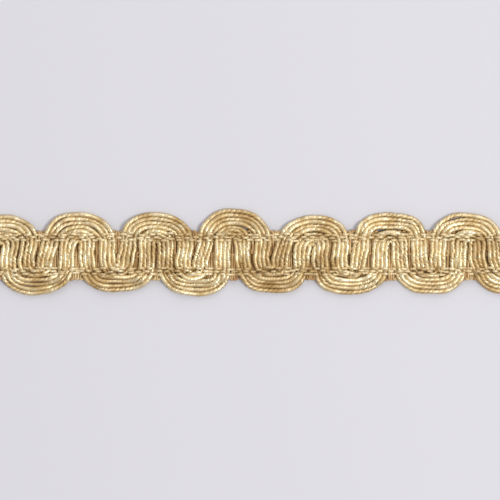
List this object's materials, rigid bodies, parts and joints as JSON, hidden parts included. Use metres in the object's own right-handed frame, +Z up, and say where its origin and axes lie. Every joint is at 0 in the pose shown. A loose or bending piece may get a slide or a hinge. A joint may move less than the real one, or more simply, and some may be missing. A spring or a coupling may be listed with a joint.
{
  "type": "braid trim",
  "caption": "Cut length of flat scalloped braid trim: two bundles of wrapped metallic cords wound back and forth and bound by two rows of chain stitches.",
  "frame": {"origin": "bottom centre of the bounding box, on the surface that the trim lies on", "axes": "+X along the braid, +Y across it towards the edge that is at the top of the picture, +Z up out of its face"},
  "size_m": [0.0932, 0.0132, 0.0018],
  "materials": {
    "wrapped_cord": "gold metallic yarn wound round a soft core",
    "chain_thread": "fine gold metallic thread"
  },
  "bodies": {
    "root": {"cord_bundle_top": "wrapped_cord", "cord_bundle_bottom": "wrapped_cord", "stitch_row_top": "chain_thread", "stitch_row_bottom": "chain_thread"}
  },
  "joints": []
}
